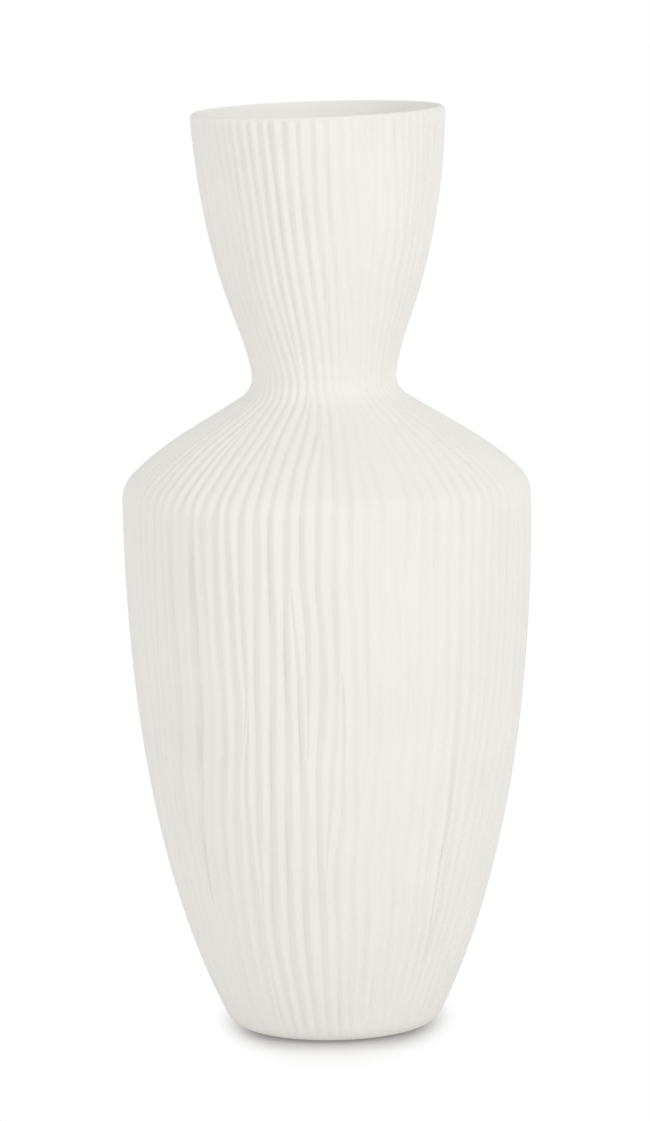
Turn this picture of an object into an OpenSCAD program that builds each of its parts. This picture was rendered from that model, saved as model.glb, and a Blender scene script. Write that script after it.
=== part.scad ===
// Tall fluted ceramic vase: a waisted neck over broad shoulders, tapering to a
// small round foot. Irregular flutes run from the lip to the foot, and some of
// them open or close on the way, so that the ribs between them fork and merge.
// The shell is one casting with a clear glaze lining, and it stands on four
// thin pads under its foot ring.
// Z is up, the origin is on the table under the middle, and -Y is the front.

/* [Overall] */
// Height from the table to the lip
height = 460; // [440:1:480]
// Radius of the mouth over the flutes
mouth_r = 63.5; // [60:0.5:68]
// Lean of the wall at the lip, in degrees from upright
mouth_lean = 4.5; // [2:0.5:7]

/* [Foot and belly] */
// Outer radius of the flat foot ring
foot_r = 42; // [40:0.5:44]
// Radius of the rounded edge above the foot ring
foot_round = 14; // [12:0.5:16]
// Lean of the side where it leaves the foot, in degrees from upright
foot_lean = 26; // [22:1:30]
// Largest radius of the belly
belly_r = 101.5; // [95:0.5:108]
// Height of the largest radius
belly_z = 268; // [255:1:276]
// How far the side curve follows its two ends, as shares of its height
side_shares = [0.15, 0.565];

/* [Shoulder and waist] */
// Radius of the rounded shoulder edge
shoulder_round = 16; // [12:0.5:20]
// Lean of the shoulder at its edge, in degrees from upright
shoulder_lean = 44; // [38:1:48]
// Lean of the shoulder at the waist, in degrees from upright
collar_lean = 57; // [52:1:62]
// How far the shoulder follows its two leans, as a share of its length
shoulder_share = 0.33; // [0.25:0.01:0.4]
// Smallest radius of the neck
waist_r = 35.8; // [34:0.2:40]
// Height of the smallest radius
waist_z = 328; // [322:1:340]
// Radius of the inward bend at the waist
waist_round = 12.5; // [10:0.5:16]
// Lean of the neck just above the waist, in degrees from upright
neck_lean = 8; // [5:0.5:12]
// How far the neck curve follows its two ends, as shares of its length
neck_shares = [0.2, 0.65];

/* [Wall] */
// Thickness of the fired wall over the flutes
wall_t = 4.6; // [4:0.1:6]
// Thickness of the lip
lip_t = 3; // [2.6:0.1:3.6]
// Radius of the rounding on each edge of the lip
lip_round = 1.2; // [0.8:0.1:1.25]
// Thickness of the base inside the foot
base_t = 7; // [6:0.5:9]
// Thickness of the glaze that lines the inside
glaze_t = 0.4; // [0.3:0.05:0.6]
// How far below the lip the glaze stops
glaze_drop = 6; // [4:0.5:12]

/* [Foot ring and pads] */
// Inner radius of the foot ring
ring_in_r = 30; // [28:0.5:31]
// Depth of the hollow inside the foot ring
recess_h = 2.5; // [1.5:0.1:3]
// Slant of the foot ring's inner side
recess_slant = 1.5; // [0.5:0.1:2]
// Number of pads under the foot ring
pad_count = 4;
// Diameter of a pad
pad_d = 8; // [5:0.5:9]
// Thickness of a pad
pad_t = 1; // [0.8:0.1:1.4]

/* [Flutes] */
// Depth of the flutes at the belly, as a share of the pitch from rib to rib
flute_depth_share = 0.25; // [0.15:0.01:0.28]
// Least wall that stays behind a flute
least_wall_t = 1.6; // [1.2:0.1:2]
// Height over which the flutes fade out below the lip
lip_band = 2.5; // [1.5:0.5:6]
// Height over which the flutes fade out above the foot, in front
front_band = 14; // [8:1:30]
// Height over which the flutes fade out above the foot, at the back
back_band = 80; // [40:5:110]

/* [Hidden] */

// Overrun of every cut past the face that it opens
cut = 4;
// Facets of a full round
round_fn = 144;
// Steps along each part of the outline, from the foot to the lip
foot_steps = 2;
side_steps = 9;
edge_steps = 2;
slope_steps = 3;
waist_steps = 3;
neck_steps = 6;
lip_steps = 2;
// Steps are this many times finer on the smooth inside
inside_finer = 2;

// Flutes of one set, from left to right. Each opens and closes at the given levels: 0 is the
// foot, 1 the belly, 2 the waist and 3 the lip, with shares of the height between them.
flute_level_shares = [
    [0, 3],
    [0.45, 1.6, 2.5, 3],
    [0, 3],
    [0, 3],
    [0, 1.8],
    [0.25, 1.68],
    [0, 3],
    [0, 3],
    [0, 3],
    [0.58, 1.6],
    [0, 0.66],
    [0, 0.18, 0.24, 3],
    [2.03, 3],
    [0, 3],
    [0, 1.95],
    [0, 0.89],
    [0.55, 3],
    [0, 1.62],
    [0.33, 3],
    [0, 0.72],
    [0, 3],
    [0.48, 1.6],
    [0, 3],
    [0, 2.37],
    [0, 3],
    [0, 3],
    [2.38, 3],
    [0, 3],
    [0, 1.7],
    [0.2, 3],
    [0, 3],
    [0.5, 1.5, 2.6, 3],
    [0, 3],
];
// Sets round the vase
set_count = 3;
// Levels over which a flute opens, and how soon in them it does
merge_share = 0.5;
open_power = 2.5;
// Width that a closed flute keeps, as a share of an open one
closed_share = 0.08;
// The flute of the front set that the others are placed from, and where its middle lies at
// each level, in degrees right of the front
anchor = 13;
anchor_places = [
    [0, -22],
    [0.2, -23.5],
    [0.35, -21],
    [0.6, -18],
    [1, -16.5],
    [2, -15.5],
    [2.5, -20],
    [3, -23.5],
];
// How much wider the flutes are next to it, at each level, and how much wider to its right
near_level_shares = [
    [0, 0.15],
    [0.35, 0.05],
    [0.6, 0],
    [1.6, 0],
    [2, 0.1],
    [2.5, -0.1],
    [3, 0.05],
];
right_level_shares = [
    [0, 0],
    [0.6, 0],
    [1, 0.05],
    [1.6, 0.05],
    [2, 0],
    [2.5, 0.1],
    [3, 0.15],
];
// Depth of the flutes at each level, as a share of that at the belly
depth_level_shares = [
    [0, 0.6],
    [0.6, 0.9],
    [1, 1],
    [1.6, 0.75],
    [2, 0.7],
    [3, 0.95],
];
// How soon a flute loses its depth as it closes
depth_power = 0.7;
// How much deeper the flutes are round one of them, and how closely round it
deep_flute = 18;
deep_share = 0.5;
deep_power = 3;
// Single cuts: a flute, the levels between which it is cut otherwise, and its depth there as
// a share of the usual one
cut_shares = [
    [3, 0.4, 0.97, 1.5],
    [4, 0, 0.97, 0.1],
    [5, 0.25, 0.95, 1.5],
    [6, 0.85, 1, 1.4],
    [6, 0, 0.82, 0.35],
    [8, 0.83, 0.96, 1.4],
    [29, 0.2, 0.75, 1.5],
    [30, 0.14, 0.35, 1.5],
];
// Levels over which a single cut blends in
blend_share = 0.06;
// How much the flutes differ in depth
differ_share = 0.15;
// Turn from one flute to the next that keeps their depths from repeating, in degrees, and
// where it starts
golden_deg = 137.508;
differ_start = 6;
// Middle of the front in which the flutes reach down to the foot, and how wide it is
front_deg = -10;
front_power = 4;

// Heights of the faces that the pads and the base make
ring_z = pad_t;
floor_z = ring_z + base_t;
// Centres of the rounded foot, shoulder edge and waist
foot_mid = [foot_r, ring_z + foot_round];
edge_mid = [belly_r - shoulder_round, belly_z];
waist_mid = [waist_r + waist_round, waist_z];
lip_start = [mouth_r, height - lip_round];

function fade(t) = let (u = min(1, max(0, t))) u * u * (3 - 2 * u);
function spread(i) = (1 + sin(golden_deg * i * (i + differ_start) + differ_start)) / 2;
function mix(ends, t) = ends[0] + (ends[1] - ends[0]) * t;

// Outline: a list of [point, lean], where lean is the slope of the outline in degrees,
// outward positive, so that its outward normal is [cos(lean), -sin(lean)].
function bend(mid, r, from, to, steps, side = 1) = [
    for (i = [1 : steps])
        let (lean = from + (to - from) * i / steps)
        [mid + side * r * [cos(lean), -sin(lean)], lean]
];
function curve_at(p, t) =
    pow(1 - t, 3) * p[0] + 3 * pow(1 - t, 2) * t * p[1] + 3 * (1 - t) * t * t * p[2] + pow(t, 3) * p[3];
function curve_way(p, t) =
    pow(1 - t, 2) * (p[1] - p[0]) + 2 * (1 - t) * t * (p[2] - p[1]) + t * t * (p[3] - p[2]);
function curve(a, lean_a, pull_a, b, lean_b, pull_b, steps) =
    let (p = [
        a,
        a + pull_a * [sin(lean_a), cos(lean_a)],
        b - pull_b * [sin(lean_b), cos(lean_b)],
        b
    ])
    [for (i = [1 : steps])
        let (way = curve_way(p, i / steps))
        [curve_at(p, i / steps), atan2(way[0], way[1])]];

function on_bend(mid, r, lean, side = 1) = mid + side * r * [cos(lean), -sin(lean)];
foot_end = on_bend(foot_mid, foot_round, foot_lean);
edge_end = on_bend(edge_mid, shoulder_round, -shoulder_lean);
collar_start = on_bend(waist_mid, waist_round, -collar_lean, -1);
neck_start = on_bend(waist_mid, waist_round, neck_lean, -1);
side_h = belly_z - foot_end[1];
slope_l = norm(collar_start - edge_end);
neck_l = norm(lip_start - neck_start);

function side_line(n) = concat(
    curve(foot_end, foot_lean, side_h * side_shares[0],
        [belly_r, belly_z], 0, side_h * side_shares[1], side_steps * n),
    bend(edge_mid, shoulder_round, 0, -shoulder_lean, edge_steps * n),
    curve(edge_end, -shoulder_lean, slope_l * shoulder_share,
        collar_start, -collar_lean, slope_l * shoulder_share, slope_steps * n),
    bend(waist_mid, waist_round, -collar_lean, neck_lean, waist_steps * n, -1),
    curve(neck_start, neck_lean, neck_l * neck_shares[0],
        lip_start, mouth_lean, neck_l * neck_shares[1], neck_steps * n)
);

// Outside, from the edge of the flat foot ring to the top of the lip, with a row where the
// flutes start to fade below the lip
below_lip = lip_start - lip_band * [sin(mouth_lean), cos(mouth_lean)];
outside = concat(
    [[[foot_r, ring_z], 90]],
    bend(foot_mid, foot_round, 90, foot_lean, foot_steps),
    [for (p = side_line(1)) if (p[0][1] < below_lip[1]) p],
    [[below_lip, mouth_lean]],
    bend(lip_start - [lip_round, 0], lip_round, mouth_lean, mouth_lean, 1),
    bend(lip_start - [lip_round, 0], lip_round, mouth_lean, -90, lip_steps)
);

// Inside, from the middle of the floor to the lip, drawn in by the wall and any lining
function wall_at(z) = wall_t + (lip_t - wall_t) * fade((z - waist_z) / (height - waist_z));
function drawn_in(p, t) = p[0] - t * [cos(p[1]), -sin(p[1])];
function inside(extra) =
    let (heel_r = foot_round - wall_t)
    concat(
        [[0, floor_z + extra]],
        [for (p = concat(
            [[[foot_r, floor_z], 90]],
            bend([foot_r, floor_z + heel_r], heel_r, 90, foot_lean, foot_steps * inside_finer)
        )) drawn_in(p, extra)],
        [for (p = side_line(inside_finer)) if (p[0][1] > foot_end[1] + base_t)
            drawn_in(p, wall_at(p[0][1]) + extra)]
    );

// Flutes. Those of every set are numbered on round the vase.
flute_count = len(flute_level_shares);
lane_count = set_count * flute_count;

function level_at(z) = lookup(z, [[ring_z, 0], [belly_z, 1], [waist_z, 2], [height, 3]]);
function sum(list, i = 0) = i < len(list) ? list[i] + sum(list, i + 1) : 0;

// How far a flute has opened at a level: 0 is closed, 1 is its full width
function opened_in(v, from, to) =
    let (
        up = from > 0 ? (v - from) / merge_share : 1,
        down = to < 3 ? (to - v) / merge_share : 1
    )
    1 - pow(1 - min(1, max(0, min(up, down))), open_power);
function opened(k, v) =
    let (run = flute_level_shares[k % flute_count])
    max([for (i = [0 : 2 : len(run) - 1]) opened_in(v, run[i], run[i + 1])]);
function lane_width(k, v, open) =
    let (phase = 360 * (k - anchor) / flute_count)
    mix([closed_share, 1], open)
        * (1 + lookup(v, near_level_shares) * cos(phase) + lookup(v, right_level_shares) * sin(phase));

// Depth of a flute, at a level and an angle, for the pitch of the ribs at that level
function within(v, from, to) =
    fade((v - from) / blend_share + 0.5) * (1 - fade((v - to) / blend_share + 0.5));
function cut_at(k, v) =
    1 + sum([for (c = cut_shares) if (c[0] == k % flute_count) (c[3] - 1) * within(v, c[1], c[2])]);
function deeper(k) =
    1 + deep_share * pow((1 + cos(360 * (k - deep_flute) / flute_count)) / 2, deep_power);
function foot_band(deg) = mix([back_band, front_band], pow((1 + cos(deg - front_deg)) / 2, front_power));
function depth_at(k, z, deg, pitch, open) =
    let (
        v = level_at(z),
        full = pitch * flute_depth_share * lookup(v, depth_level_shares) * pow(open, depth_power),
        depth = full * deeper(k) * (1 - differ_share * spread(k)) * cut_at(k, v)
    )
    min(depth, wall_at(z) - least_wall_t)
        * fade((height - z - lip_round) / lip_band)
        * fade((z - ring_z) / foot_band(deg));

// One row of the outside: each flute gives the rib on its left and its own middle
function fluted_row(p) =
    let (
        z = p[0][1],
        v = level_at(z),
        open = [for (k = [0 : lane_count - 1]) opened(k, v)],
        widths = [for (k = [0 : lane_count - 1]) lane_width(k, v, open[k])],
        starts = [for (k = 0, s = 0; k < lane_count; s = s + widths[k], k = k + 1) s],
        turn = 360 / sum(widths),
        middle = starts[flute_count + anchor] + widths[flute_count + anchor] / 2,
        pitch = 2 * PI * p[0][0] / sum(open)
    )
    [for (k = [0 : lane_count - 1], side = [0, 1])
        let (
            deg = (starts[k] + side * widths[k] / 2 - middle) * turn + lookup(v, anchor_places),
            q = drawn_in(p, side * depth_at(k, z, deg, pitch, open[k]))
        )
        [q[0] * sin(deg), -q[0] * cos(deg), q[1]]];

module fluted_blank() {
    ring = 2 * lane_count;
    rows = len(outside);
    points = [for (p = outside) each fluted_row(p)];
    sides = [for (j = [0 : rows - 2], i = [0 : ring - 1])
        let (
            a = j * ring + i,
            b = j * ring + (i + 1) % ring
        )
        each [[a, a + ring, b], [b, a + ring, b + ring]]];
    foot_face = [for (i = [0 : ring - 1]) i];
    lip_face = [for (i = [ring - 1 : -1 : 0]) (rows - 1) * ring + i];
    polyhedron(points = points, faces = concat(sides, [foot_face, lip_face]), convexity = 6);
}

module cavity() {
    inner_r = mouth_r - lip_t;
    rotate_extrude($fn = round_fn)
        polygon(concat(
            inside(0),
            [for (i = [1 : lip_steps * inside_finer])
                let (turn = 90 * i / (lip_steps * inside_finer))
                [inner_r + lip_round * (1 - cos(turn)), height - lip_round + lip_round * sin(turn)]],
            [[inner_r + lip_round, height + cut], [0, height + cut]]
        ));
}

module foot_recess() {
    translate([0, 0, ring_z - cut])
        cylinder(h = cut, r = ring_in_r, $fn = round_fn);
    translate([0, 0, ring_z])
        cylinder(h = recess_h, r1 = ring_in_r, r2 = ring_in_r - recess_slant, $fn = round_fn);
}

module vase_body() {
    color([0.93, 0.92, 0.89])
        difference() {
            fluted_blank();
            cavity();
            foot_recess();
        }
}

module glaze_lining() {
    below = height - glaze_drop;
    color([0.9, 0.89, 0.86])
        rotate_extrude($fn = round_fn)
            intersection() {
                difference() {
                    polygon(concat(inside(0), [[0, height - lip_round]]));
                    polygon(concat(inside(glaze_t), [[0, height + cut]]));
                }
                square([belly_r, below]);
            }
}

module foot_pad(number) {
    color([0.86, 0.85, 0.82])
        rotate(360 * (number - 0.5) / pad_count)
            translate([(ring_in_r + foot_r) / 2, 0, 0])
                cylinder(h = pad_t, d = pad_d, $fn = round_fn);
}

vase_body();
glaze_lining();
foot_pad(1);  // foot_pad_1
foot_pad(2);  // foot_pad_2
foot_pad(3);  // foot_pad_3
foot_pad(4);  // foot_pad_4
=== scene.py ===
import math

import bpy
import numpy as np
from mathutils import Matrix, Vector


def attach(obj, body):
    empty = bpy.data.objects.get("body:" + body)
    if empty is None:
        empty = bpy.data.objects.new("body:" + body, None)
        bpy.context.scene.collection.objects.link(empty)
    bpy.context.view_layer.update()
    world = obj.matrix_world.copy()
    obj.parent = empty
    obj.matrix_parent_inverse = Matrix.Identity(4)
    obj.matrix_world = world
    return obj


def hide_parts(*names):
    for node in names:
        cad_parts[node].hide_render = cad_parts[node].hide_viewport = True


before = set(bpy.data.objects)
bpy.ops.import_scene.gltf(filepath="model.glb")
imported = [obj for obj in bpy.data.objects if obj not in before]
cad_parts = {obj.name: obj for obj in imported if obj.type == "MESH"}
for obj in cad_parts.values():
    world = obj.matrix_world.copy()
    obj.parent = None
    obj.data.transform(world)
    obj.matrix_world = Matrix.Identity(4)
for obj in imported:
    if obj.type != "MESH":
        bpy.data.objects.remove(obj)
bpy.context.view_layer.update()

# Sizes, in millimetres and degrees
MM = 0.001
HEIGHT = 460.0
MOUTH_R, MOUTH_LEAN = 63.5, 4.5
FOOT_R, FOOT_ROUND, FOOT_LEAN = 42.0, 14.0, 26.0
BELLY_R, BELLY_Z = 101.5, 268.0
SIDE_SHARES = (0.15, 0.565)
SHOULDER_ROUND, SHOULDER_LEAN = 16.0, 44.0
COLLAR_LEAN, SHOULDER_SHARE = 57.0, 0.33
WAIST_R, WAIST_Z, WAIST_ROUND = 35.8, 328.0, 12.5
NECK_LEAN, NECK_SHARES = 8.0, (0.2, 0.65)
WALL_T, LIP_T, BASE_T = 4.6, 3.0, 7.0
# Roundings of the lip: outside across and up, and inside
LIP_OUT_ROUND, LIP_IN_ROUND = (2.3, 3.2), 0.7
# The glaze's thickness, how far below the lip it ends, and the gap behind it
GLAZE_T, GLAZE_DROP, GLAZE_GAP = 0.4, 6.0, 0.05
# The flat foot ring's inner radius, and the depth, slant and rounding of the hollow inside it
RING_IN_R, RECESS_H, RECESS_SLANT, RECESS_ROUND = 30.0, 2.5, 1.5, 0.8
# The bevel at the ring's inner edge, and how far inside the outer edge the flat's last points lie
RING_EDGE, FLAT_EDGE = 0.2, 0.3
# The pads, on which the ring stands
PAD_COUNT, PAD_D, PAD_T, PAD_ROUND = 4, 8.0, 1.0, 0.3
RING_Z = PAD_T
FLOOR_Z = RING_Z + BASE_T

# Marks of the firing: the rim is higher and drawn in on its right, and the axis bows
RIM_TILT_DEG, RIM_LIFT = 0.87, 1.0
RIM_DRAW, RIM_DRAW_H = 0.9, 36.0
BOW, BOW_Z, BOW_L, BOW_ASIDE = 0.3, 250.0, 480.0, -0.1

# Flutes, on levels from 0 at the foot over 1 at the belly and 2 at the waist to 3 at the lip

# Each row is a flute of one third of the turn, from left to right, with the levels at which
# it opens and closes again. The front third has this set, and each of the others repeats it.
FLUTE_RUNS = (
    ((0.0, 3.0),), ((0.45, 1.6), (2.5, 3.0)), ((0.0, 3.0),), ((0.0, 3.0),), ((0.0, 1.8),),
    ((0.25, 1.68),), ((0.0, 3.0),), ((0.0, 3.0),), ((0.0, 3.0),), ((0.58, 1.6),),
    ((0.0, 0.66),), ((0.0, 0.18), (0.24, 3.0)), ((2.03, 3.0),), ((0.0, 3.0),), ((0.0, 1.95),),
    ((0.0, 0.89),), ((0.55, 3.0),), ((0.0, 1.62),), ((0.33, 3.0),), ((0.0, 0.72),),
    ((0.0, 3.0),), ((0.48, 1.6),), ((0.0, 3.0),), ((0.0, 2.37),), ((0.0, 3.0),),
    ((0.0, 3.0),), ((2.38, 3.0),), ((0.0, 3.0),), ((0.0, 1.7),), ((0.2, 3.0),),
    ((0.0, 3.0),), ((0.5, 1.5), (2.6, 3.0)), ((0.0, 3.0),),
)
ROW_COUNT = len(FLUTE_RUNS)
SET_COUNT = 3
# The levels over which a flute opens or closes, how briskly, and the width that a closed one keeps
MERGE_LEVELS, OPEN_POWER, LEAST_SHARE = 0.5, 2.5, 0.03
# At each of these levels: how much wider the flutes are round the row ANCHOR and to its right,
# where that row stands, in degrees to the right of the front, and the flutes' depth as a share
# of their pitch
LEVELS = (0.0, 0.2, 0.35, 0.6, 1.0, 1.6, 2.0, 2.5, 3.0)
SWELL_FRONT = (0.15, 0.15, 0.05, 0.0, 0.0, 0.0, 0.1, -0.1, 0.05)
SWELL_RIGHT = (0.0, 0.0, 0.0, 0.0, 0.05, 0.05, 0.0, 0.1, 0.12)
TURN_DEG = (-22.0, -23.5, -21.0, -18.0, -16.5, -16.0, -15.5, -20.0, -22.5)
ANCHOR = 13
DEPTH_SHARES = (0.20, 0.19, 0.195, 0.195, 0.20, 0.14, 0.155, 0.185, 0.22)
# How much deeper the flutes are near the row DEEP_ROW, and at each level to its right
DEEP_SHARE, DEEP_ROW, DEEP_POWER = 0.6, 18, 3.0
DEEP_RIGHT = (0.0, -0.1, -0.2, -0.3, -0.05, -0.05, -0.2, -0.2, -0.1)
# Flutes cut deeper or shallower than the rest: row, from level, to level, share of the depth
CUTS = (
    (3, 0.40, 0.97, 2.0), (4, -1.0, 0.97, 0.1), (5, 0.25, 0.95, 2.2), (6, 0.85, 1.0, 1.4),
    (6, -1.0, 0.82, 0.35), (8, 0.83, 0.96, 1.4), (29, 0.20, 0.75, 2.2), (30, 0.14, 0.35, 2.0),
    (2, 1.05, 1.75, 1.2), (3, 1.05, 1.75, 1.2), (4, 1.05, 1.75, 1.2), (5, 1.05, 1.6, 1.2),
)
CUT_BLEND = 0.06
# How fast a closing flute gets shallow, and how much the flutes differ in depth
DEPTH_POWER, DIFFER_SHARE = 0.7, 0.15
# The turn from one flute to the next that keeps their depths from repeating, and its start
GOLDEN_DEG, DIFFER_START = 137.508, 6
# How much of a flute's section is round at its bottom. The rest comes to an edge there.
ROUND_SHARE = 0.5
LEAST_WALL_T = 0.8
# The flutes start this far below the lip and grow over a band. From the foot they grow over the
# first of these heights at the back, and over the second round FRONT_DEG.
FLUTE_TOP, LIP_BAND = 0.6, 2.0
FOOT_BANDS, FOOT_BAND_POWER, FRONT_DEG = (80.0, 8.0), 4.0, -10.0
# Handwork: waves that shift the flutes aside (degrees) and cut them deeper and shallower (share),
# each with its waves round the vase, its length in mm up the vase and where it starts in degrees
STRAY = ((0.21, 31, 135.0, 20.0), (0.14, 47, -95.0, 140.0), (0.05, 71, 60.0, 250.0))
UNEVEN = ((0.14, 43, 120.0, 60.0), (0.1, 59, -80.0, 300.0))

# Steps of the meshes: along the side, outside and inside, in the roundings, and round the turn
OUT_STEPS = (110, 14, 34, 20, 84)
IN_STEPS = (30, 8, 10, 10, 20)
FOOT_STEPS, LIP_OUT_STEPS, LIP_IN_STEPS, HEEL_STEPS, PAD_STEPS = 14, 10, 5, 6, 4
FLUTE_SAMPLES, LINING_COLUMNS, PAD_COLUMNS = 8, 256, 48
# The radius of the last ring before a flat closes, on the shell and lining and on the pads
HUB_R, PAD_HUB_R = 2.0, 0.5
# How far the middle of a rounding lies from its corner, as a share of its radius
ROUND_MIDDLE = 0.3

# Materials, with linear colours and lengths in millimetres
WHITE = (1.0, 1.0, 1.0, 1.0)
BISQUE_LIGHT, BISQUE_DARK = (0.885, 0.864, 0.826), (0.865, 0.842, 0.802)
# Painted light: the bisque is lighter where it faces the axis, inside the mouth, standing in for
# light that falls there
BISQUE_PAINTED_LIGHT_INSIDE = (0.924, 0.914, 0.881)
GLAZE_LIGHT, GLAZE_DARK = (0.995, 0.985, 0.955), (0.985, 0.975, 0.945)
RUBBER_LIGHT, RUBBER_DARK = (0.79, 0.78, 0.75), (0.76, 0.75, 0.72)
REFRACTION = 1.45
# Noise with its waves to the metre, its detail and its roughness
CLOUD_NOISE, SOFT_NOISE = (28.0, 5.0, 0.6), (160.0, 2.0, 0.5)
# Noise with its detail and its roughness, for which each use has waves of its own
GRAIN_NOISE, STREAK_NOISE = (3.0, 0.65), (1.0, 0.25)
# How much the clouds and the grain count in the tone, and where it is darkest and lightest
TONE_SHARES, TONE_BAND = (0.7, 0.3), (0.35, 0.65)
# Streaks: their length, their count to a radian, and their strength at the start and the end of
# a band of distance from the vase's middle plane, and of a band of distance from a height on
# the slope. They fade out over a band of height below the lip.
STREAK_L, STREAK_COUNT = 150.0, 35.0
STREAK_ASIDE, STREAK_ASIDE_SHARES = (25.0, 55.0), (1.0, 1.6)
STREAK_CALM_Z, STREAK_CALM, STREAK_CALM_SHARES = 310.0, (20.0, 60.0), (0.35, 1.0)
STREAK_TOP = (452.0, 457.5)
# A surface faces inward where its inward part times its distance from the axis is over this
FACING_LIMIT = 20.0

# Stage, in metres and degrees
FLOOR_SIZE = 40.0
FLOOR_TONE = 0.58
# The shadow that the camera sees fades out over the last part of an ellipse on the floor
SHADOW_MID_Y, SHADOW_REACH, SHADOW_BAND = 0.03, (0.0629, 0.145), (0.69, 1.0)
# The floor's glow rises over a band of distance from the middle, to the camera and to other rays. To
# the camera it is weakest near the foot, so the contact shadow is partly real and partly painted
# shadow. To other rays it is painted light that the floor sheds on the vase, weaker near the foot as
# painted shade under it.
SEEN_PAINTED_SHADOW_GLOW, SEEN_BAND, SEEN_WIDE = (0.03, 0.43), (0.036, 0.0804), 1.09
PAINTED_LIGHT_GLOW, UNSEEN_BAND = (0.27, 0.312), (0.05, 0.16)
WORLD_STRENGTH = 0.79
# Each lamp's name, angle to the right of the front, angle up, distance, width and power in watts
LAMPS = (
    ("key", 45.0, 21.5, 2.6, 1.1, 11.8),
    ("fill", -35.0, 9.0, 2.6, 1.1, 6.4),
)

# Camera, as the photograph was taken, in metres and degrees
CAMERA_FAR = 3.009
CAMERA_HIGH = 0.653
CAMERA_PITCH_DEG = 7.904
CAMERA_ROLL_DEG = 1.055
CAMERA_ASIDE = -0.00117
CAMERA_REACH = 100.0
FOCAL_PX = 6102.0
PHOTO_HIGH_PX = 1121
SENSOR_MM = 36.0


def fade(t):
    """From 0 to 1, softly, as t goes from 0 to 1."""
    u = np.clip(t, 0.0, 1.0)
    return u * u * (3.0 - 2.0 * u)


def mix(ends, t):
    """The value that lies the share t of the way between the two ends."""
    return ends[0] + (ends[1] - ends[0]) * t


def sin_deg(degrees):
    return np.sin(np.radians(degrees))


def spread(i):
    """A share from 0 to 1 for the i-th flute that follows no pattern the eye can find."""
    return (1.0 + sin_deg(GOLDEN_DEG * i * (i + DIFFER_START) + DIFFER_START)) / 2.0


# Outline
def normal(lean):
    """The outward normal, as (radius, height), where the outline leans outward by lean."""
    a = np.radians(lean)
    return np.stack([np.cos(a), -np.sin(a)], axis=-1)


def way(lean):
    """The upward direction of the outline where it leans outward by lean."""
    a = math.radians(lean)
    return np.array([math.sin(a), math.cos(a)])


def bend(mid, r, start, end, steps, side=1.0):
    """An arc from one lean to another. With side -1 its middle lies outside the vase."""
    lean = np.linspace(start, end, steps + 1)[1:]
    return np.column_stack([np.array(mid) + side * r * normal(lean), lean])


def curve(a, lean_a, pull_a, b, lean_b, pull_b, steps):
    """A Bezier curve from a to b that follows the lean at each end as far as its pull."""
    p = [np.array(a), a + pull_a * way(lean_a), b - pull_b * way(lean_b), np.array(b)]
    t = (np.arange(steps) + 1.0)[:, None] / steps
    s = 1.0 - t
    at = s ** 3 * p[0] + 3 * s ** 2 * t * p[1] + 3 * s * t ** 2 * p[2] + t ** 3 * p[3]
    to = s ** 2 * (p[1] - p[0]) + 2 * s * t * (p[2] - p[1]) + t ** 2 * (p[3] - p[2])
    return np.column_stack([at, np.degrees(np.arctan2(to[:, 0], to[:, 1]))])


foot_mid = np.array([FOOT_R, RING_Z + FOOT_ROUND])
edge_mid = np.array([BELLY_R - SHOULDER_ROUND, BELLY_Z])
waist_mid = np.array([WAIST_R + WAIST_ROUND, WAIST_Z])
lip_start = np.array([MOUTH_R, HEIGHT - LIP_OUT_ROUND[1]])
belly = np.array([BELLY_R, BELLY_Z])
foot_end = foot_mid + FOOT_ROUND * normal(FOOT_LEAN)
edge_end = edge_mid + SHOULDER_ROUND * normal(-SHOULDER_LEAN)
collar_start = waist_mid - WAIST_ROUND * normal(-COLLAR_LEAN)
neck_start = waist_mid - WAIST_ROUND * normal(NECK_LEAN)


def side_line(side_n, edge_n, slope_n, waist_n, neck_n):
    """Rows of (radius, height, lean) from the foot's rounding up to where the lip's begins."""
    side_h = BELLY_Z - foot_end[1]
    slope_l = np.linalg.norm(collar_start - edge_end) * SHOULDER_SHARE
    neck_l = np.linalg.norm(lip_start - neck_start)
    return np.vstack([
        curve(foot_end, FOOT_LEAN, side_h * SIDE_SHARES[0],
              belly, 0.0, side_h * SIDE_SHARES[1], side_n),
        bend(edge_mid, SHOULDER_ROUND, 0.0, -SHOULDER_LEAN, edge_n),
        curve(edge_end, -SHOULDER_LEAN, slope_l, collar_start, -COLLAR_LEAN, slope_l, slope_n),
        bend(waist_mid, WAIST_ROUND, -COLLAR_LEAN, NECK_LEAN, waist_n, -1.0),
        curve(neck_start, NECK_LEAN, neck_l * NECK_SHARES[0],
              lip_start, MOUTH_LEAN, neck_l * NECK_SHARES[1], neck_n),
    ])


def lip_edge():
    """Rows of the lip's outer edge, a quarter of an ellipse that is higher than it is wide."""
    wide, high = LIP_OUT_ROUND
    turn = np.linspace(0.0, math.pi / 2.0, LIP_OUT_STEPS + 1)[1:]
    r = MOUTH_R - wide * (1.0 - np.cos(turn))
    z = HEIGHT - high * (1.0 - np.sin(turn))
    lean = -np.degrees(np.arctan2(np.sin(turn) / high, np.cos(turn) / wide))
    return np.column_stack([r, z, lean])


def drawn_in(rows, t):
    """The outline's points, set inward by one depth or by one for each row."""
    t = np.asarray(t, float)
    return rows[:, :2] - normal(rows[:, 2]) * t.reshape(-1, 1)


def neck_share(z):
    return fade((z - WAIST_Z) / (HEIGHT - WAIST_Z))


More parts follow.
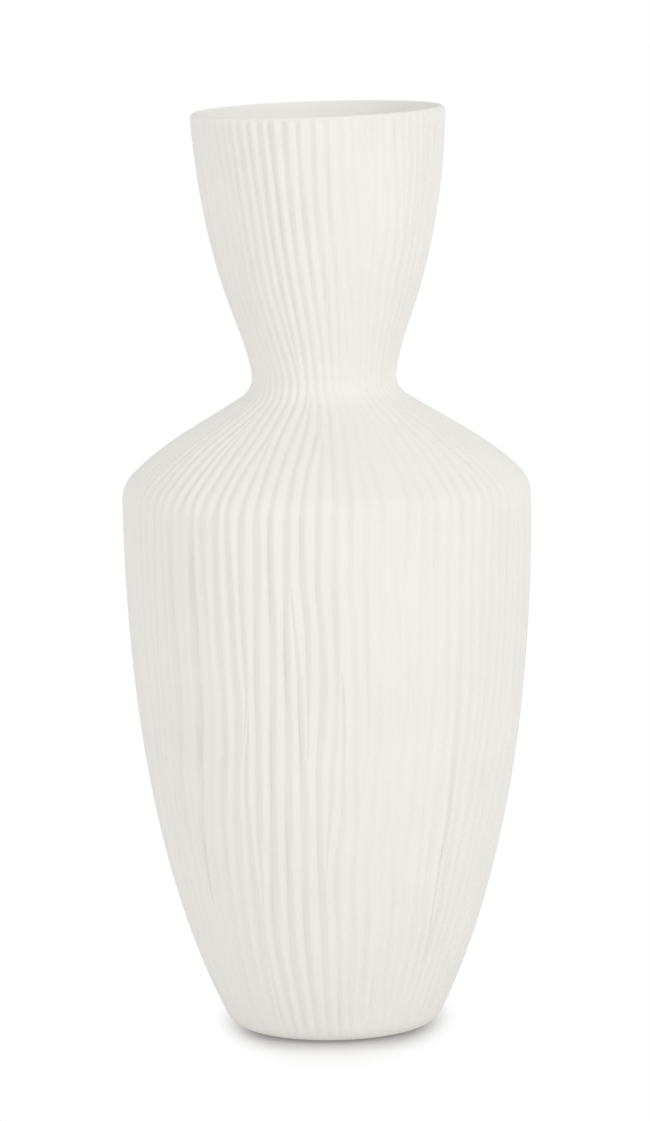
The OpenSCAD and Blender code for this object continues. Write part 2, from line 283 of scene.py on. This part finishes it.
def inside(extra):
    """The inner wall from the floor's edge up to below the lip, drawn in by extra."""
    line = side_line(*IN_STEPS)
    line = line[line[:, 1] > foot_end[1] + BASE_T]
    wall = mix((WALL_T, LIP_T), neck_share(line[:, 1]))
    heel_r = FOOT_ROUND - WALL_T
    heel = bend((FOOT_R, FLOOR_Z + heel_r), heel_r, 90.0, FOOT_LEAN, HEEL_STEPS)
    heel = np.vstack([[FOOT_R, FLOOR_Z, 90.0], heel])
    return np.vstack([drawn_in(heel, extra), drawn_in(line, wall + extra)])


# Flutes
def level(z):
    return np.interp(z, (RING_Z, BELLY_Z, WAIST_Z, HEIGHT), (0.0, 1.0, 2.0, 3.0))


def through(v, values):
    """A smooth curve over the level that goes through the values at LEVELS, as one column."""
    stops, values = np.array(LEVELS), np.array(values)
    slopes = np.gradient(values, stops)
    i = np.clip(np.searchsorted(stops, v) - 1, 0, len(stops) - 2)
    gap = stops[i + 1] - stops[i]
    t = (v - stops[i]) / gap
    leaving = slopes[i] * gap * t * (1.0 - t) ** 2
    coming = slopes[i + 1] * gap * t ** 2 * (1.0 - t)
    return (mix((values[i], values[i + 1]), fade(t)) + leaving - coming)[:, None]


def opened(v, runs):
    """How far a flute has opened at each level, 0 where it has closed and 1 at its full width."""
    most = np.zeros(len(v))
    for start, end in runs:
        up = (v - start) / MERGE_LEVELS if start > LEVELS[0] else np.ones(len(v))
        down = (end - v) / MERGE_LEVELS if end < LEVELS[-1] else np.ones(len(v))
        share = 1.0 - (1.0 - np.clip(np.minimum(up, down), 0.0, 1.0)) ** OPEN_POWER
        most = np.maximum(most, share)
    return most


def swing(row):
    """Every flute's place in its set as an angle, which is 0 at the given row."""
    return 2.0 * math.pi * (np.arange(SET_COUNT * ROW_COUNT) - row) / ROW_COUNT


def lanes(v):
    """Left edge and width of every flute in degrees at each level, and how far it has opened."""
    share = np.tile(np.column_stack([opened(v, runs) for runs in FLUTE_RUNS]), SET_COUNT)
    place = swing(ANCHOR)
    swell = 1.0 + through(v, SWELL_FRONT) * np.cos(place) + through(v, SWELL_RIGHT) * np.sin(place)
    width = mix((LEAST_SHARE, 1.0), share) * swell
    width *= 360.0 / width.sum(axis=1, keepdims=True)
    left = np.cumsum(width, axis=1) - width
    anchor = ROW_COUNT + ANCHOR
    middle = left[:, anchor] + width[:, anchor] / 2.0
    return left - middle[:, None] + through(v, TURN_DEG), width, share


def cut_shares(v):
    """How much deeper or shallower than the rest each flute is cut at each level."""
    k = np.arange(SET_COUNT * ROW_COUNT)
    place = swing(DEEP_ROW)
    front = ((1.0 + np.cos(place)) / 2.0) ** DEEP_POWER
    shares = 1.0 + through(v, DEEP_RIGHT) * np.sin(place)
    shares = shares * (1.0 + DEEP_SHARE * front) * (1.0 - DIFFER_SHARE * spread(k))
    for row, start, end, share in CUTS:
        begun = fade((v - start) / CUT_BLEND + 0.5)
        ended = fade((v - end) / CUT_BLEND + 0.5)
        here = begun * (1.0 - ended)
        shares[:, k % ROW_COUNT == row] *= 1.0 + (share - 1.0) * here[:, None]
    return shares


def waves(parts, deg, z):
    """The sum of slanting waves at each angle and height."""
    total = 0.0
    for most, count, length, start in parts:
        total = total + most * sin_deg(count * deg + 360.0 * z / length + start)
    return total


def fluted(rows):
    """Angles and depths below the outline of every vertex on the fluted outside."""
    r, z = rows[:, 0], rows[:, 1]
    v = level(z)
    left, width, share = lanes(v)
    pitch = 2.0 * math.pi * r[:, None] / share.sum(axis=1, keepdims=True)
    depth = through(v, DEPTH_SHARES) * pitch * share ** DEPTH_POWER * cut_shares(v)
    depth = depth * (1.0 + waves(UNEVEN, left + width / 2.0, z[:, None]))
    depth = np.minimum(depth, mix((WALL_T, LIP_T), neck_share(z))[:, None] - LEAST_WALL_T)
    u = 2.0 * np.arange(FLUTE_SAMPLES) / FLUTE_SAMPLES - 1.0
    rise = np.sin(math.pi * np.abs(u) / 2.0)
    section = 1.0 - (1.0 - ROUND_SHARE) * rise - ROUND_SHARE * rise ** 2
    deg = left[:, :, None] + width[:, :, None] * (u + 1.0) / 2.0
    near_front = ((1.0 + np.cos(np.radians(deg - FRONT_DEG))) / 2.0) ** FOOT_BAND_POWER
    ends = fade((HEIGHT - z - FLUTE_TOP) / LIP_BAND)[:, None, None]
    ends = ends * fade((z - RING_Z)[:, None, None] / mix(FOOT_BANDS, near_front))
    dip = depth[:, :, None] * section * ends
    deg = deg + waves(STRAY, deg, z[:, None, None])
    return deg.reshape(len(z), -1), dip.reshape(len(z), -1)


# Meshes
def ring_mesh(name, rings):
    """A closed skin through rings of equal count. rings has the shape (rows, columns, 3), in mm."""
    rows, columns, _ = rings.shape
    first = np.arange(columns)
    step = np.roll(first, -1)
    a = (np.arange(rows - 1)[:, None] * columns + first[None, :]).ravel()
    b = (np.arange(rows - 1)[:, None] * columns + step[None, :]).ravel()
    top = (rows - 1) * columns
    quads = np.column_stack([a, b, b + columns, a + columns])
    low_cap = np.column_stack([np.full(columns, rows * columns), step, first])
    high_cap = np.column_stack([np.full(columns, rows * columns + 1), top + first, top + step])
    points = [rings.reshape(-1, 3), rings[0].mean(axis=0), rings[-1].mean(axis=0)]
    coords = np.vstack(points) * MM
    faces = quads.tolist() + low_cap.tolist() + high_cap.tolist()
    mesh = bpy.data.meshes.new(name)
    mesh.from_pydata(coords.tolist(), [], faces)
    mesh.polygons.foreach_set("use_smooth", np.ones(len(faces), dtype=bool))
    mesh.validate()
    mesh.update()
    piece = bpy.data.objects.new(name, mesh)
    bpy.context.scene.collection.objects.link(piece)
    return piece


def evenly(count):
    """That many angles, evenly round the turn."""
    return np.linspace(0.0, 360.0, count + 1)[:-1]


def placed(r, z, deg):
    """Points at the given radii and heights. The angle is 0 at the front and grows to the right."""
    r, z, a = np.broadcast_arrays(r, z, np.radians(deg))
    return np.stack([r * np.sin(a), -r * np.cos(a), z], axis=-1)


def turned(profile, deg):
    """Rings of a profile of (radius, height) rows, all at the same angles."""
    return placed(profile[:, 0:1], profile[:, 1:2], deg[None, :])


def settled(rings):
    """As the firing left it: the axis bows, and the rim is higher and less wide on its right."""
    x, y, z = rings[..., 0], rings[..., 1], rings[..., 2]
    lift = RIM_LIFT + math.tan(math.radians(RIM_TILT_DEG)) * (x - MOUTH_R)
    bow = BOW * np.cos(2.0 * math.pi * (z - BOW_Z) / BOW_L) + BOW_ASIDE
    draw = RIM_DRAW * fade((z - HEIGHT) / RIM_DRAW_H + 1.0) * (x / MOUTH_R + 1.0) / 2.0
    return np.stack([x + bow - draw, y, z + lift * neck_share(z)], axis=-1)


def make_shell():
    recess_r = RING_IN_R - RECESS_SLANT
    recess_z = RING_Z + RECESS_H
    under = np.array([
        [HUB_R, recess_z],
        [recess_r - RECESS_ROUND, recess_z],
        [recess_r - RECESS_ROUND * ROUND_MIDDLE, recess_z - RECESS_ROUND * ROUND_MIDDLE],
        [recess_r, recess_z - RECESS_ROUND],
        [RING_IN_R - RING_EDGE, RING_Z + RING_EDGE],
        [RING_IN_R + RING_EDGE, RING_Z],
        [FOOT_R - FLAT_EDGE, RING_Z],
    ])
    outside = np.vstack([
        [[FOOT_R, RING_Z, 90.0]],
        bend(foot_mid, FOOT_ROUND, 90.0, FOOT_LEAN, FOOT_STEPS),
        side_line(*OUT_STEPS),
        lip_edge(),
    ])
    deg, dip = fluted(outside)
    skin = outside[:, None, :2] - normal(outside[:, 2])[:, None, :] * dip[:, :, None]
    turn = np.radians(np.linspace(90.0, 0.0, LIP_IN_STEPS + 1))
    lip_in = np.column_stack([
        MOUTH_R - LIP_T + LIP_IN_ROUND * (1.0 - np.cos(turn)),
        HEIGHT - LIP_IN_ROUND + LIP_IN_ROUND * np.sin(turn),
    ])
    wall = inside(0.0)[::-1]
    within = np.vstack([lip_in, wall[1:], [[HUB_R, FLOOR_Z]]])
    rings = np.vstack([
        turned(under, deg[0]),
        placed(skin[..., 0], skin[..., 1], deg),
        turned(within, deg[-1]),
    ])
    return ring_mesh("fluted_shell", settled(rings))


def make_lining():
    top = HEIGHT - GLAZE_DROP
    outer = inside(GLAZE_GAP)
    inner = inside(GLAZE_T)
    profile = np.vstack([
        [[HUB_R, FLOOR_Z + GLAZE_GAP]],
        outer[outer[:, 1] < top],
        inner[inner[:, 1] < top][::-1],
        [[HUB_R, FLOOR_Z + GLAZE_T]],
    ])
    return ring_mesh("inner_glaze_skin", settled(turned(profile, evenly(LINING_COLUMNS))))


def make_pad(number):
    r = PAD_D / 2.0
    turn = np.radians(np.linspace(0.0, 90.0, PAD_STEPS + 1))
    low = np.column_stack([
        r - PAD_ROUND + PAD_ROUND * np.sin(turn),
        PAD_ROUND - PAD_ROUND * np.cos(turn),
    ])
    profile = np.vstack([[[PAD_HUB_R, 0.0]], low, [[r, PAD_T]], [[PAD_HUB_R, PAD_T]]])
    rings = turned(profile, evenly(PAD_COLUMNS))
    at = math.radians(360.0 * (number - 0.5) / PAD_COUNT)
    middle = (RING_IN_R + FOOT_R) / 2.0
    rings[..., 0] += middle * math.cos(at)
    rings[..., 1] += middle * math.sin(at)
    return ring_mesh(f"foot_pad_rubber_{number}", rings)


# Materials
class Nodes:
    """A small helper that adds and joins the shader nodes of a material or a world."""

    def __init__(self, owner):
        owner.use_nodes = True
        self.tree = owner.node_tree
        self.tree.nodes.clear()

    def add(self, kind, values=None, **fields):
        node = self.tree.nodes.new(kind)
        for name, value in fields.items():
            setattr(node, name, value)
        for socket, value in (values or {}).items():
            node.inputs[socket].default_value = value
        return node

    def join(self, start, end):
        self.tree.links.new(start, end)

    def math(self, operation, a, b=0.0):
        node = self.add("ShaderNodeMath", operation=operation)
        for socket, value in zip(node.inputs, (a, b)):
            if isinstance(value, (int, float)):
                socket.default_value = value
            else:
                self.join(value, socket)
        return node.outputs[0]

    def product(self, first, *others):
        for value in others:
            first = self.math("MULTIPLY", first, value)
        return first

    def length(self, a, b):
        """The length of a vector with these two sides."""
        squares = self.math("ADD", self.math("MULTIPLY", a, a), self.math("MULTIPLY", b, b))
        return self.math("SQRT", squares)

    def ease(self, value, band, ends):
        """Runs softly from one end to the other while the value crosses the band."""
        node = self.add("ShaderNodeMapRange", interpolation_type="SMOOTHSTEP")
        for name, number in zip(("From Min", "From Max", "To Min", "To Max"), (*band, *ends)):
            node.inputs[name].default_value = number
        self.join(value, node.inputs["Value"])
        return node.outputs["Result"]

    def noise(self, place, scale, detail, roughness):
        values = {"Scale": scale, "Detail": detail, "Roughness": roughness}
        node = self.add("ShaderNodeTexNoise", values)
        self.join(place, node.inputs["Vector"])
        return node.outputs["Fac"]

    def bump(self, height, depth, before=None):
        """The normal under a bump that is depth mm deep, on top of the normal before it."""
        node = self.add("ShaderNodeBump", {"Strength": 1.0, "Distance": depth * MM})
        self.join(height, node.inputs["Height"])
        if before is not None:
            self.join(before, node.inputs["Normal"])
        return node.outputs["Normal"]

    def blend(self, share, first, second):
        """The first shader, with the given share of the second."""
        node = self.add("ShaderNodeMixShader")
        for socket, value in zip(node.inputs, (share, first, second)):
            self.join(value, socket)
        return node.outputs["Shader"]


def metres(lengths):
    return tuple(length * MM for length in lengths)


def inward(n):
    """1 where the surface faces the vase's axis and 0 where it faces outward."""
    inputs = n.add("ShaderNodeTexCoord").outputs
    flat = n.add("ShaderNodeVectorMath", {1: (1.0, 1.0, 0.0)}, operation="MULTIPLY")
    n.join(inputs["Object"], flat.inputs[0])
    facing = n.add("ShaderNodeVectorMath", operation="DOT_PRODUCT")
    n.join(flat.outputs["Vector"], facing.inputs[0])
    n.join(inputs["Normal"], facing.inputs[1])
    return n.math("LESS_THAN", facing.outputs["Value"], -FACING_LIMIT * MM)


def streaks(n, place):
    """Fine lines that run up the vase all round, as a brush or a comb leaves them."""
    x, y, z = n.add("ShaderNodeSeparateXYZ").outputs
    n.join(place, x.node.inputs[0])
    r = n.length(x, y)
    round_it = n.add("ShaderNodeCombineXYZ")
    n.join(n.math("DIVIDE", x, r), round_it.inputs["X"])
    n.join(n.math("DIVIDE", y, r), round_it.inputs["Y"])
    n.join(n.math("DIVIDE", z, STREAK_L * MM * STREAK_COUNT), round_it.inputs["Z"])
    lines = n.noise(round_it.outputs[0], STREAK_COUNT, *STREAK_NOISE)
    from_calm = n.math("ABSOLUTE", n.math("SUBTRACT", z, STREAK_CALM_Z * MM))
    calm = n.ease(from_calm, metres(STREAK_CALM), STREAK_CALM_SHARES)
    aside = n.ease(n.math("ABSOLUTE", x), metres(STREAK_ASIDE), STREAK_ASIDE_SHARES)
    below_lip = n.ease(z, metres(STREAK_TOP), (1.0, 0.0))
    outside = n.math("SUBTRACT", 1.0, inward(n))
    return n.product(lines, below_lip, outside, aside, calm)


def ceramic(name, light, dark, roughness, grain_mm, grain_depth, pore_depth,
            streak_depth=0.0, within=None):
    """A surface with faint clouds of tone, and with fine grain and soft unevenness in its bump."""
    material = bpy.data.materials.new(name)
    n = Nodes(material)
    place = n.add("ShaderNodeTexCoord").outputs["Object"]
    cloud = n.noise(place, *CLOUD_NOISE)
    grain = n.noise(place, 1.0 / (grain_mm * MM), *GRAIN_NOISE)
    soft = n.noise(place, *SOFT_NOISE)
    tone = n.math("ADD", n.product(cloud, TONE_SHARES[0]), n.product(grain, TONE_SHARES[1]))
    ramp = n.add("ShaderNodeValToRGB")
    for stop, position, colour in zip(ramp.color_ramp.elements, TONE_BAND, (dark, light)):
        stop.position = position
        stop.color = (*colour, 1.0)
    n.join(tone, ramp.inputs["Fac"])
    colour = ramp.outputs["Color"]
    # Painted light: where within is given, the surfaces that face the axis take that lighter colour
    if within:
        both = n.add("ShaderNodeMixRGB", {"Color2": (*within, 1.0)})
        n.join(inward(n), both.inputs["Fac"])
        n.join(colour, both.inputs["Color1"])
        colour = both.outputs["Color"]
    relief = n.bump(soft, pore_depth, n.bump(grain, grain_depth))
    if streak_depth > 0.0:
        relief = n.bump(streaks(n, place), streak_depth, relief)
    shader = n.add("ShaderNodeBsdfPrincipled", {"Roughness": roughness, "IOR": REFRACTION})
    n.join(colour, shader.inputs["Base Color"])
    n.join(relief, shader.inputs["Normal"])
    n.join(shader.outputs["BSDF"], n.add("ShaderNodeOutputMaterial").inputs["Surface"])
    return material


def floor_material():
    """Pale to the light, with a glow that is painted light. White to the camera, but for the shadow
    close round the foot, which the glow partly paints.
    """
    material = bpy.data.materials.new("pale_floor")
    n = Nodes(material)
    x, y, _ = n.add("ShaderNodeSeparateXYZ").outputs
    n.join(n.add("ShaderNodeNewGeometry").outputs["Position"], x.node.inputs[0])

    def ring(middle, reach, band, ends):
        """A value that runs from one end to the other with the distance from an ellipse's middle."""
        across = n.math("DIVIDE", x, reach[0])
        along = n.math("DIVIDE", n.math("SUBTRACT", y, middle), reach[1])
        return n.ease(n.length(across, along), band, ends)

    path = n.add("ShaderNodeLightPath").outputs
    mirrored = n.math("MAXIMUM", path["Is Glossy Ray"], path["Is Transmission Ray"])
    seen = n.math("MAXIMUM", path["Is Camera Ray"], mirrored)
    # Painted shadow and light: the floor glows less near the foot. To the camera this darkens the
    # contact shadow, and to other rays the floor lights the vase as if it were a lamp
    to_camera = n.product(seen, ring(0.0, (SEEN_WIDE, 1.0), SEEN_BAND, SEEN_PAINTED_SHADOW_GLOW))
    unseen = n.math("SUBTRACT", 1.0, seen)
    painted_light_below = n.product(unseen, ring(0.0, (1.0, 1.0), UNSEEN_BAND, PAINTED_LIGHT_GLOW))
    matte = n.add("ShaderNodeBsdfDiffuse", {"Color": (FLOOR_TONE, FLOOR_TONE, FLOOR_TONE, 1.0)})
    glow = n.add("ShaderNodeEmission", {"Color": WHITE})
    n.join(n.math("ADD", to_camera, painted_light_below), glow.inputs["Strength"])
    lit = n.add("ShaderNodeAddShader")
    n.join(matte.outputs["BSDF"], lit.inputs[0])
    n.join(glow.outputs["Emission"], lit.inputs[1])
    white = n.add("ShaderNodeEmission", {"Color": WHITE})
    clear = n.product(seen, ring(SHADOW_MID_Y, SHADOW_REACH, SHADOW_BAND, (0.0, 1.0)))
    both = n.blend(clear, lit.outputs["Shader"], white.outputs["Emission"])
    n.join(both, n.add("ShaderNodeOutputMaterial").inputs["Surface"])
    return material


# Stage
def make_floor():
    bpy.ops.mesh.primitive_plane_add(size=FLOOR_SIZE, location=(0.0, 0.0, 0.0))
    floor = bpy.context.object
    floor.name = "floor"
    floor.data.materials.append(floor_material())


def make_world():
    """Even light from all round, and plain white behind the floor for the camera."""
    world = bpy.data.worlds.new("soft_white")
    bpy.context.scene.world = world
    n = Nodes(world)
    to_camera = n.add("ShaderNodeLightPath").outputs["Is Camera Ray"]
    light = n.add("ShaderNodeBackground", {"Color": WHITE, "Strength": WORLD_STRENGTH})
    white = n.add("ShaderNodeBackground", {"Color": WHITE, "Strength": 1.0})
    both = n.blend(to_camera, light.outputs["Background"], white.outputs["Background"])
    n.join(both, n.add("ShaderNodeOutputWorld").inputs["Surface"])


def make_lamp(name, side_deg, up_deg, far, size, watts):
    """A round lamp that faces the middle of the vase."""
    data = bpy.data.lights.new(name, "AREA")
    data.shape = "DISK"
    data.size = size
    data.energy = watts
    lamp = bpy.data.objects.new(name, data)
    bpy.context.scene.collection.objects.link(lamp)
    side, up = math.radians(side_deg), math.radians(up_deg)
    target = Vector((0.0, 0.0, HEIGHT * MM / 2.0))
    place = target + far * Vector((
        math.sin(side) * math.cos(up),
        -math.cos(side) * math.cos(up),
        math.sin(up),
    ))
    lamp.location = place
    lamp.rotation_euler = (target - place).to_track_quat("-Z", "Y").to_euler()


def make_camera():
    data = bpy.data.cameras.new("camera")
    data.sensor_fit = "VERTICAL"
    data.sensor_height = SENSOR_MM
    data.lens = FOCAL_PX / PHOTO_HIGH_PX * SENSOR_MM
    data.clip_end = CAMERA_REACH
    camera = bpy.data.objects.new("camera", data)
    bpy.context.scene.collection.objects.link(camera)
    place = Matrix.Translation((CAMERA_ASIDE, -CAMERA_FAR, CAMERA_HIGH))
    look = Matrix.Rotation(math.radians(90.0 - CAMERA_PITCH_DEG), 4, "X")
    roll = Matrix.Rotation(math.radians(-CAMERA_ROLL_DEG), 4, "Z")
    camera.matrix_world = place @ look @ roll
    bpy.context.scene.camera = camera


def dress(piece, material, slot, *nodes):
    """The piece's looks, the body that it rides on and the solids that it replaces."""
    piece.data.materials.append(material)
    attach(piece, "root")
    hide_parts(*nodes)


make_camera()
make_floor()
make_world()
for lamp in LAMPS:
    make_lamp(*lamp)

bisque = ceramic("bisque", BISQUE_LIGHT, BISQUE_DARK, roughness=0.85, grain_mm=0.7,
                 grain_depth=0.05, pore_depth=0.06, streak_depth=0.52, within=BISQUE_PAINTED_LIGHT_INSIDE)
glaze = ceramic("satin_glaze", GLAZE_LIGHT, GLAZE_DARK, roughness=0.4, grain_mm=1.2,
                grain_depth=0.01, pore_depth=0.03)
rubber = ceramic("pad_rubber", RUBBER_LIGHT, RUBBER_DARK, roughness=0.6, grain_mm=0.5,
                 grain_depth=0.03, pore_depth=0.02)

dress(make_shell(), bisque, "bisque_shell", "vase_body")
dress(make_lining(), glaze, "inner_glaze", "glaze_lining")
for number in range(1, PAD_COUNT + 1):
    dress(make_pad(number), rubber, "foot_pads", f"foot_pad_{number}")

bpy.context.scene.view_settings.view_transform = "Standard"
